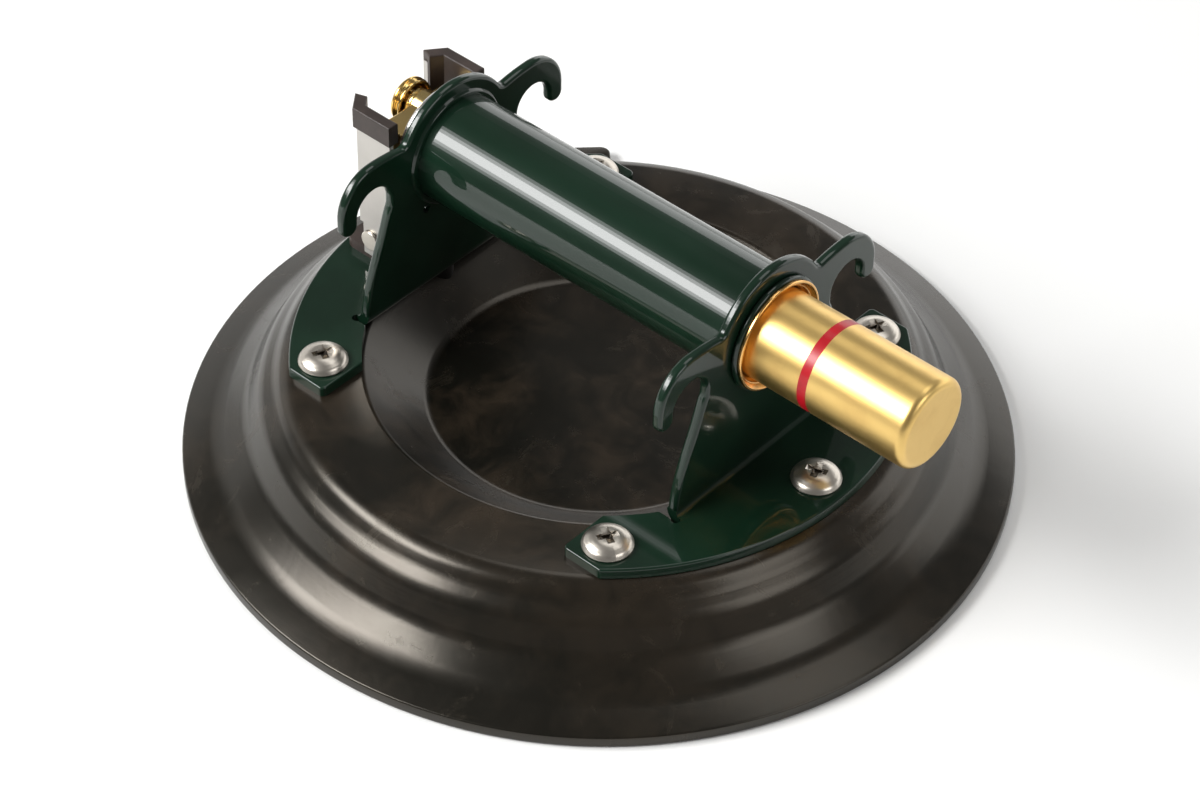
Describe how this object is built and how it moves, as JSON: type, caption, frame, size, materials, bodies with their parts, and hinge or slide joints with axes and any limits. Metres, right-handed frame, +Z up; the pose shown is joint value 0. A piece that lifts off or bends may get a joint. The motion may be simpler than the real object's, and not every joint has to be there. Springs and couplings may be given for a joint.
{
  "type": "vacuum suction cup",
  "caption": "Hand-held vacuum suction cup: round rubber pad, painted steel legs and tube handle with a built-in brass pump plunger, rear release lever and knob.",
  "frame": {"origin": "centre of the rubber rim's underside, on the plane the cup rests on", "axes": "+Z up from the sealing face, +X along the handle towards the pump plunger, +Y to the left of the plunger"},
  "size_m": [0.23, 0.23, 0.0943],
  "materials": {
    "rubber_black": "moulded, semi-gloss with brownish bloom",
    "plate_steel": "plain mild steel",
    "screw_steel": "polished stainless",
    "green_paint": "gloss dark green enamel",
    "tube_paint": "gloss dark green enamel",
    "pump_brass": "bright lacquered brass",
    "plunger_brass": "satin brass",
    "band_red": "gloss red",
    "inner_plastic": "moulded black nylon",
    "seal_rubber": "soft black nitrile",
    "spring_steel": "bright spring wire",
    "valve_brass": "machined brass",
    "knob_brass": "polished brass",
    "lever_steel": "bright stainless sheet",
    "grip_plastic": "moulded dark brown-black plastic",
    "hose_rubber": "smooth black hose",
    "felt": "pressed felt disc"
  },
  "bodies": {
    "cup": {"suction_pad": "rubber_black", "pad_plate": "plate_steel", "foot_screws": "screw_steel", "base_screw": "screw_steel", "front_leg": "green_paint", "rear_leg": "green_paint", "handle_tube": "tube_paint", "pump_cylinder": "pump_brass", "end_plug": "valve_brass", "plug_ring": "seal_rubber", "check_valve": "seal_rubber", "end_cap": "lever_steel", "valve_block": "valve_brass", "lever_base": "grip_plastic", "lever_pin": "screw_steel", "vacuum_hose": "hose_rubber", "port_nipple": "inner_plastic", "port_filter": "felt"},
    "plunger": {"plunger_cap": "plunger_brass", "red_band": "band_red", "piston": "inner_plastic", "piston_seal": "seal_rubber", "plunger_spring": "spring_steel"},
    "lever": {"release_lever": "lever_steel", "lever_grip_near": "grip_plastic", "lever_grip_far": "grip_plastic"},
    "knob": {"release_knob": "knob_brass", "stem_seal": "seal_rubber", "stem_spring": "spring_steel"}
  },
  "joints": [
    {"name": "plunger_slide", "type": "slide", "parent": "cup", "child": "plunger", "axis": [1, 0, 0], "range_m": [-0.044, 0], "stiffness_N_per_m": 120, "springref_m": 0.09, "deforming": ["plunger_spring"]},
    {"name": "lever_hinge", "type": "hinge", "parent": "cup", "child": "lever", "pos_m": [-0.0695, 0, 0.042], "axis": [0, 1, 0], "range_deg": [0, 4], "stiffness_Nm_per_rad": 3, "springref_deg": -2.86},
    {"name": "knob_slide", "type": "slide", "parent": "cup", "child": "knob", "axis": [1, 0, 0], "range_m": [0, 0.00195], "deforming": ["stem_spring"]}
  ],
  "couplings": [
    {"joint": "knob_slide", "follows": "lever_hinge", "m_per_rad": 0.0275}
  ]
}
